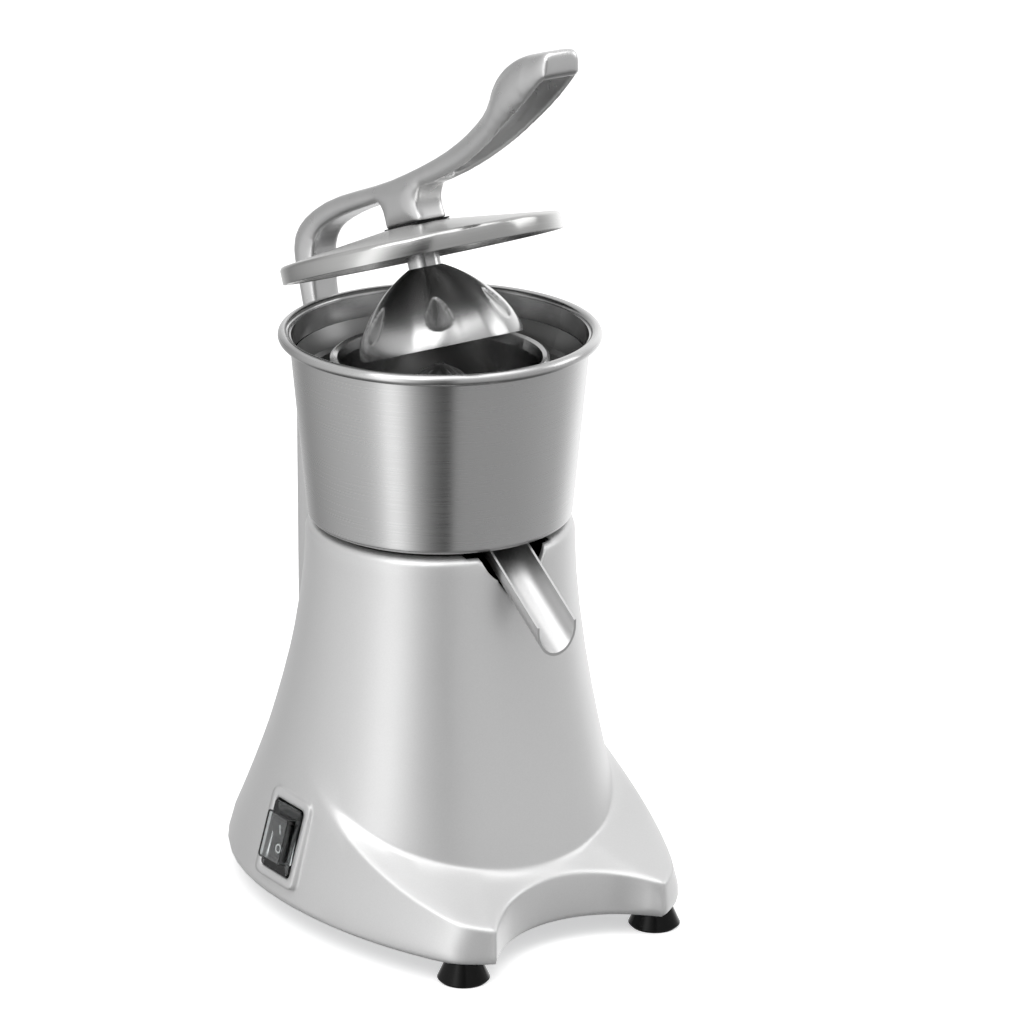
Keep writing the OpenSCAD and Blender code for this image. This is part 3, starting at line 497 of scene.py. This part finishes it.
def clear_vinyl():
    # Clear moulded vinyl cap: see-through with a wavy, shiny skin that catches the light
    material, tree, shader, where = blank(
        "clear_vinyl", roughness=0.06, ior=1.53, transmission_weight=1.0,
        specular_ior_level=0.25)
    dust = add(tree, "ShaderNodeTexNoise", {  # dust of 1.5 mm
        "Vector": where["Object"], "Scale": per(1.5), "Detail": 4.0})
    vary(tree, shader, dust.outputs["Fac"], (srgb("#E4E7E8"), srgb("#F6F8F8")), (0.03, 0.14))
    return material


def white_ink():
    # Pad printed white ink: flat and slightly uneven
    material, tree, shader, where = blank("white_ink", roughness=0.6)
    cover = add(tree, "ShaderNodeTexNoise", {  # ink patches of 0.4 mm
        "Vector": where["Object"], "Scale": per(0.4), "Detail": 2.0})
    vary(tree, shader, cover.outputs["Fac"], (srgb("#D4D6D6"), srgb("#F4F4F2")))
    return material


def white_nylon():
    # Moulded nylon: warm white, with a soft sheen
    material, tree, shader, where = blank("white_nylon", roughness=0.45)
    shade = add(tree, "ShaderNodeTexNoise", {  # tone patches of 12 mm
        "Vector": where["Object"], "Scale": per(12), "Detail": 2.0})
    vary(tree, shader, shade.outputs["Fac"], (srgb("#E2DFD6"), srgb("#F0EEE7")))
    return material


def lacquered_copper():
    # Enamelled copper wire wound in layers: warm red brown with bright wire lines
    material, tree, shader, where = blank("lacquered_copper", metallic=1.0, roughness=0.3)
    wires = add(tree, "ShaderNodeTexWave", {  # wires of 0.9 mm
        "Vector": where["Object"], "Scale": per(0.9) / 6.28, "Distortion": 1.5, "Detail": 1.0},
        wave_type="RINGS", rings_direction="Z")
    vary(tree, shader, wires.outputs["Fac"], (srgb("#6E3016"), srgb("#B8683A")))
    lay = add(tree, "ShaderNodeBump", {
        "Height": wires.outputs["Fac"], "Strength": 0.4, "Distance": 0.4 * MM})
    tree.links.new(lay.outputs["Normal"], shader.inputs["Normal"])
    return material


def core_sheets():
    # Stack of punched core sheets: dark blued steel with one line for each sheet
    material, tree, shader, where = blank("core_sheets", metallic=1.0, roughness=0.45)
    # sheets of 0.5 mm, drawn at 0.6 mm
    stack = add(tree, "ShaderNodeMapping", {
        "Vector": where["Object"], "Scale": (per(40), per(40), per(0.6))})
    sheets = add(tree, "ShaderNodeTexNoise", {
        "Vector": stack.outputs["Vector"], "Scale": 1.0, "Detail": 1.0})
    vary(tree, shader, sheets.outputs["Fac"], (srgb("#4A4D52"), srgb("#7E8288")))
    lay = add(tree, "ShaderNodeBump", {
        "Height": sheets.outputs["Fac"], "Strength": 0.3, "Distance": 0.2 * MM})
    tree.links.new(lay.outputs["Normal"], shader.inputs["Normal"])
    return material


def sintered_bronze():
    # Sintered bronze bush: dull gold with open pores that hold oil
    material, tree, shader, where = blank("sintered_bronze", metallic=1.0, roughness=0.42)
    pores = add(tree, "ShaderNodeTexNoise", {  # pores of 0.6 mm, coarse to show
        "Vector": where["Object"], "Scale": per(0.6), "Detail": 3.0})
    vary(tree, shader, pores.outputs["Fac"], (srgb("#7A5A2B"), srgb("#B9935A")))
    return material


FINISHES = {
    function.__name__: function
    for function in (
        silver_enamel, brushed_stainless, rolled_stainless, drawn_stainless, polished_stainless,
        ground_steel, spun_aluminium_sheet, tumbled_casting, zinc_plated_steel, moulded_rubber,
        moulded_abs, clear_vinyl, white_ink, white_nylon, lacquered_copper, core_sheets,
        sintered_bronze)
}


def finish(name):
    """The material of that name, made when it is first asked for."""
    return bpy.data.materials.get(name) or FINISHES[name]()


# Which finish each CAD node that stays in view gets
NODE_FINISHES = {
    "brushed_stainless": ["bowl", "strainer"],
    "rolled_stainless": ["spout", "reamer"],
    # the splash ring gets the steel with painted shade
    "drawn_stainless": ["splash_ring"],
    "ground_steel": [
        "press_stem", "motor_shaft", "drive_pin", "hinge_pin", "top_bearing", "low_bearing"],
    "zinc_plated_steel": [
        "base_plate", "base_screws", "foot_screws", "motor_bolts", "capacitor_clamp",
        "pin_clips", "dome_screw"],
    "tumbled_casting": ["motor_top_bracket", "motor_low_bracket", "rotor_cage"],
    "moulded_rubber": [
        "foot_front_left", "foot_front_right", "foot_rear_left", "foot_rear_right",
        "bowl_seat", "shaft_seal", "slinger", "lid_gasket"],
    "moulded_abs": [
        "spout_well", "cable_gland", "cooling_fan", "switch_frame", "switch_rocker"],
    "clear_vinyl": ["switch_cover"],
    "white_nylon": ["run_capacitor", "terminal_block"],
    "lacquered_copper": ["stator_windings"],
    "core_sheets": ["stator_core", "rotor_core"],
    "sintered_bronze": ["hinge_bushes"],
}


# Pieces


class PRESS_OT_housing(bpy.types.Operator):
    """Make the painted housing with rounded edges over its solid"""

    bl_idname = "press.housing"
    bl_label = "Housing"

    def execute(self, context):
        rounded_from, smooth_to = 50, 22  # degrees between faces
        piece = copy_of("housing", "painted_housing")
        modify(piece, "BEVEL", width=looks().edge, segments=2, limit_method="ANGLE",
               angle_limit=math.radians(rounded_from), use_clamp_overlap=True)
        finish_piece(piece, "stand", finish("silver_enamel"), "silver_paint", "housing",
                     angle=smooth_to)
        return {"FINISHED"}


class PRESS_OT_lever(bpy.types.Operator):
    """Make the cast lever with soft edges over its solid"""

    bl_idname = "press.lever"
    bl_label = "Lever casting"

    def execute(self, context):
        side_facing, lip_facing = 0.8, -0.35  # least share of a normal along X and along Z
        roll_length, roll_rounds, last_rounds = 16 * MM, 60, 5
        piece = copy_of("lever", "lever_casting")
        modify(piece, "REMESH", mode="VOXEL", voxel_size=looks().grain, use_smooth_shade=True)
        modify(piece, "SMOOTH", factor=0.5, iterations=looks().softening)
        # Flat sides turn convex: the casting narrows towards the outline of its side view
        mesh = piece.data
        flat = [v.normal.x * math.copysign(1, v.co.x) > side_facing for v in mesh.vertices]
        rim = {i for edge in mesh.edges for i, j in permutations(edge.vertices)
               if flat[i] and not flat[j]}
        outline = KDTree(len(rim))
        for i in rim:
            outline.insert((0, mesh.vertices[i].co.y, mesh.vertices[i].co.z), i)
        outline.balance()
        for vertex in mesh.vertices:
            away = outline.find((0, vertex.co.y, vertex.co.z))[2]
            near = max(0, 1 - away / looks().crown_reach)
            vertex.co.x *= 1 - looks().crown * near ** 2
        # The crest rolls over the end of the grip, and the lip of the hollow stays
        end = min(vertex.co.y for vertex in mesh.vertices)
        crest = [v.index for v in mesh.vertices
                 if v.co.y < end + roll_length and v.normal.z > lip_facing]
        piece.vertex_groups.new(name="grip_end").add(crest, 1.0, "REPLACE")
        modify(piece, "SMOOTH", factor=0.5, iterations=roll_rounds, vertex_group="grip_end")
        piece.vertex_groups.clear()
        modify(piece, "SMOOTH", factor=0.5, iterations=last_rounds)
        finish_piece(piece, "lever", finish("tumbled_casting"), "cast_aluminium", "lever",
                     angle=180)
        return {"FINISHED"}


class PRESS_OT_lid(bpy.types.Operator):
    """Spin the splash lid that stands over the bowl"""

    bl_idname = "press.lid"
    bl_label = "Splash lid"

    def execute(self, context):
        # In millimetres, from the lower edge of the band up, with the lever pressed down
        seat = 292.8
        radius, band, top, sheet, hub, bore, bend = 70.5, 9.0, 16.0, 1.2, 17.0, 4.0, 2.4
        land, ease = 2.0, 0.15  # the flat of the hub ends softly before the slope
        hem, chamfer = 0.4, 0.25  # the lower edge is broken on both sides
        angles = [math.radians(a) for a in range(80, -1, -10)]

        def corner(size, angles):
            return [(radius - bend + size * math.cos(a), band - bend + size * math.sin(a))
                    for a in angles]

        outside = [(bore, top), (hub - land, top), (hub, top - ease)]
        outside += corner(bend, angles)
        edge = [(radius, hem), (radius - chamfer, 0.0),
                (radius - sheet + chamfer, 0.0), (radius - sheet, hem)]
        inside = corner(bend - sheet, reversed(angles))
        inside += [(hub, top - sheet - ease), (hub - land, top - sheet), (bore, top - sheet)]
        piece = turned("lid_spinning", [(r, seat + z) for r, z in outside + edge + inside])
        piece.data.transform(LEVER_POSE)
        finish_piece(piece, "lever", finish("spun_aluminium_sheet"), "spun_aluminium",
                     "splash_lid", angle=40)
        return {"FINISHED"}


class PRESS_OT_dome(bpy.types.Operator):
    """Press the dimpled dome that comes down over the reamer"""

    bl_idname = "press.dome"
    bl_label = "Press dome"

    def execute(self, context):
        # In millimetres, with the lever pressed down
        low, high, wide, sheet, bore, rows = 247.4, 40.2, 41.3, 1.0, 4.0, 72
        # The curve would close at this share of the height, and two powers shape it
        close, swell, shoulder = 1.082, 1.7, 0.75
        # Six dimples: their middle and half height as shares of the dome's height, their
        # half width in degrees, how much they narrow upwards, and how steep their walls are
        spacing, middle, half_height, half_width = 60, 0.4, 0.21, 9.5
        depth, narrowing, steepness = 2.2, 0.25, 0.55

        def outline(t):
            return wide * (1 - (t / close) ** swell) ** shoulder

        def dimple(turn, t):
            across = turn % spacing - spacing / 2
            up = (t - middle) / half_height
            spread = (across / (half_width * (1 - narrowing * up))) ** 2 + up ** 2
            return 0.0 if spread >= 1 else depth * (1 - spread) ** steepness

        steps = [i / rows for i in range(rows + 1)]
        profile = [(bore, low + high)]
        profile += [(outline(t), low + t * high) for t in reversed(steps)]
        profile += [(outline(t) - sheet, low + t * (high - sheet)) for t in steps]
        profile += [(bore, low + high - sheet)]
        piece = turned("dome_pressing", profile)
        for vertex in piece.data.vertices:
            radius = vertex.co.xy.length
            turn = math.degrees(math.atan2(vertex.co.x, -vertex.co.y))
            pressed = dimple(turn, (vertex.co.z / MM - low) / high) * MM
            vertex.co.xy *= (radius - pressed) / radius
        piece.data.transform(LEVER_POSE)
        finish_piece(piece, "lever", finish("polished_stainless"), "polished_steel",
                     "press_dome", angle=40)
        return {"FINISHED"}


class PRESS_OT_switch_marks(bpy.types.Operator):
    """Print the on and off marks on the rocker"""

    bl_idname = "press.switch_marks"
    bl_label = "Switch marks"

    # In millimetres, in the rocker's own axes
    ink = 0.2
    bar_width, bar_height, bar_edge = 1.0, 5.0, 0.06
    ring_inside, ring_outside, ring_edge = 1.6, 2.4, 0.1
    off_centre, lift = 5.0, 5.22
    slope_rise, slope_run = 1.4, 10.2

    def ring(self, name):
        side = self.ink * 0.7
        return turned(name, [
            (self.ring_inside, 0), (self.ring_outside, 0), (self.ring_outside, side),
            (self.ring_outside - self.ring_edge, self.ink),
            (self.ring_inside + self.ring_edge, self.ink), (self.ring_inside, side)], steps=48)

    def bar(self, name):
        select_none()
        bpy.ops.mesh.primitive_cube_add(size=1)
        piece = bpy.context.object
        piece.name = piece.data.name = name
        bpy.ops.object.mode_set(mode="EDIT")
        bpy.ops.mesh.select_all(action="SELECT")
        bpy.ops.transform.translate(value=(0, 0, 0.5))
        bpy.ops.transform.resize(
            value=(self.bar_width * MM, self.bar_height * MM, self.ink * MM),
            center_override=(0, 0, 0))
        bpy.ops.mesh.bevel(offset=self.bar_edge * MM, segments=2, affect="EDGES")
        bpy.ops.object.mode_set(mode="OBJECT")
        return piece

    def execute(self, context):
        for piece, way in ((self.bar("on_mark"), 1), (self.ring("off_mark"), -1)):
            place = Matrix.Translation(Vector((0, way * self.off_centre, self.lift)) * MM)
            slope = Matrix.Rotation(
                way * math.atan2(self.slope_rise, self.slope_run), 4, "X")
            piece.data.transform(ROCKER_POSE @ place @ slope)
            finish_piece(piece, "rocker", finish("white_ink"), "white_plastic")
        return {"FINISHED"}


class PRESS_OT_finishes(bpy.types.Operator):
    """Give every solid that stays in view its finish"""

    bl_idname = "press.finishes"
    bl_label = "Finishes of the other pieces"

    def execute(self, context):
        for name, nodes in NODE_FINISHES.items():
            for node in nodes:
                mesh = frame["nodes"][node].data
                mesh.materials.clear()
                mesh.materials.append(finish(name))
        return {"FINISHED"}


# Stage


def seen_directly(tree):
    """1 for a ray from the camera or through clear plastic, and 0 for any other."""
    path = add(tree, "ShaderNodeLightPath").outputs
    direct = add(tree, "ShaderNodeMath", {
        0: path["Is Camera Ray"], 1: path["Is Transmission Ray"]}, operation="MAXIMUM")
    return direct.outputs["Value"]


def lay_table():
    """White table that keeps the shadow, and that metal doesn't mirror."""
    bpy.ops.mesh.primitive_plane_add(size=6, location=(0, 0, 0))
    table = bpy.context.object
    table.name = "table"
    table.visible_glossy = False
    material = bpy.data.materials.new("white_table")
    material.use_nodes = True
    tree = material.node_tree
    tree.nodes.clear()
    matt = add(tree, "ShaderNodeBsdfDiffuse", {"Color": looks().table[:]})
    glow = add(tree, "ShaderNodeEmission", {"Color": WHITE, "Strength": 0.5})
    none = add(tree, "ShaderNodeBsdfTransparent", {"Color": BLACK})
    seen = add(tree, "ShaderNodeMixShader", {
        0: seen_directly(tree), 1: none.outputs["BSDF"], 2: glow.outputs["Emission"]})
    both = add(tree, "ShaderNodeAddShader", {
        0: matt.outputs["BSDF"], 1: seen.outputs["Shader"]})
    add(tree, "ShaderNodeOutputMaterial", {"Surface": both.outputs["Shader"]})
    table.data.materials.append(material)


def hang_tent(scene):
    """Light tent: camera and clear plastic see white, and metal mirrors its grey cloth."""
    scene.world = bpy.data.worlds.new("light_tent")
    scene.world.use_nodes = True
    tree = scene.world.node_tree
    tree.nodes.clear()
    place = add(tree, "ShaderNodeTexCoord").outputs["Generated"]
    turn = add(tree, "ShaderNodeMapping", {
        "Vector": place, "Rotation": (0, 0, math.radians(-CAMERA_ANGLE))})
    round_view = add(tree, "ShaderNodeTexGradient", {
        "Vector": turn.outputs["Vector"]}, gradient_type="RADIAL")
    tent = add(tree, "ShaderNodeValToRGB", {"Fac": round_view.outputs["Fac"]})
    stops = tent.color_ramp.elements
    while len(stops) < len(CLOTH):
        stops.new(0.5)
    for stop, (angle, level) in zip(stops, CLOTH):
        stop.position = angle / 360 + 0.5
        stop.color = (level, level, level, 1)
    # Straight below it is dark, and overhead the cloth is even
    height = add(tree, "ShaderNodeSeparateXYZ", {"Vector": place}).outputs["Z"]
    floor = add(tree, "ShaderNodeMapRange", {
        "Value": height, "From Min": BELOW_TO, "From Max": BELOW_FROM, "To Min": CLOTH_BELOW})
    roof = add(tree, "ShaderNodeMapRange", {
        "Value": height, "From Min": OVERHEAD_FROM, "From Max": OVERHEAD_TO})
    cloths = add(tree, "ShaderNodeMix", {
        "Factor": roof.outputs["Result"], MIX_LOW: tent.outputs["Color"],
        MIX_HIGH: (CLOTH_OVERHEAD, CLOTH_OVERHEAD, CLOTH_OVERHEAD, 1)}, data_type="RGBA")
    around = add(tree, "ShaderNodeBackground", {
        "Color": cloths.outputs[MIX_RESULT], "Strength": floor.outputs["Result"]})
    white = add(tree, "ShaderNodeBackground", {"Color": WHITE, "Strength": 1.0})
    seen = add(tree, "ShaderNodeMixShader", {
        0: seen_directly(tree), 1: around.outputs["Background"],
        2: white.outputs["Background"]})
    add(tree, "ShaderNodeOutputWorld", {"Surface": seen.outputs["Shader"]})


def place_lamps():
    """Soft boxes: the key high on the left, one overhead and a small one on the right."""
    middle = Vector((0, 0, 0.2))
    # Name, power, size in metres, degrees right of the camera, degrees up, metres away
    for name, power, size, angle, tilt, away in (
            ("key_box", looks().key, 1.0, -32.0, 50.0, 1.6),
            ("top_box", looks().top, 1.2, 60.0, 75.0, 1.5),
            ("side_box", looks().side, 0.7, 100.0, 25.0, 1.5)):
        bpy.ops.object.light_add(type="AREA")
        lamp = bpy.context.object
        lamp.name = lamp.data.name = name
        lamp.data.energy = power
        lamp.data.size = size
        at = math.radians(CAMERA_ANGLE + angle)
        up = math.radians(tilt)
        back = Vector((math.cos(at) * math.cos(up), math.sin(at) * math.cos(up), math.sin(up)))
        lamp.location = middle + back * away
        lamp.rotation_euler = back.to_track_quat("Z", "Y").to_euler()


def place_camera(scene):
    """Camera with the view of the photograph."""
    bpy.ops.object.camera_add(
        location=CAMERA_PLACE,
        rotation=(math.radians(CAMERA_TILT), 0, math.radians(CAMERA_TURN)))
    camera = bpy.context.object
    camera.name = "photo_view"
    camera.data.lens = CAMERA_LENS
    camera.data.sensor_width = CAMERA_SENSOR
    camera.data.shift_x = CAMERA_SHIFT
    camera.data.clip_end = CAMERA_FAR
    scene.camera = camera


class PRESS_OT_stage(bpy.types.Operator):
    """Set the table, the light and the camera"""

    bl_idname = "press.stage"
    bl_label = "Stage"

    def execute(self, context):
        context.scene.view_settings.view_transform = "Standard"
        select_none()
        lay_table()
        hang_tent(context.scene)
        place_lamps()
        place_camera(context.scene)
        return {"FINISHED"}


class PRESS_PT_panel(bpy.types.Panel):
    """Sidebar panel with the sizes, the colours and the pieces"""

    bl_label = "Citrus press"
    bl_idname = "PRESS_PT_panel"
    bl_space_type = "VIEW_3D"
    bl_region_type = "UI"
    bl_category = "Citrus press"

    def draw(self, context):
        for key in PressLooks.__annotations__:
            self.layout.prop(context.scene.press_looks, key)
        for operator in OPERATORS:
            self.layout.operator(operator.bl_idname)


OPERATORS = (
    PRESS_OT_housing, PRESS_OT_lever, PRESS_OT_lid, PRESS_OT_dome, PRESS_OT_switch_marks,
    PRESS_OT_finishes, PRESS_OT_stage)
CLASSES = (PressLooks,) + OPERATORS + (PRESS_PT_panel,)


def register():
    for made in CLASSES:
        bpy.utils.register_class(made)
    bpy.types.Scene.press_looks = bpy.props.PointerProperty(type=PressLooks)


def unregister():
    del bpy.types.Scene.press_looks
    for made in reversed(CLASSES):
        bpy.utils.unregister_class(made)


def main():
    register()
    bpy.ops.press.housing()
    bpy.ops.press.lever()
    bpy.ops.press.lid()
    bpy.ops.press.dome()
    bpy.ops.press.switch_marks()
    bpy.ops.press.finishes()
    bpy.ops.press.stage()


if __name__ == "__main__":
    main()
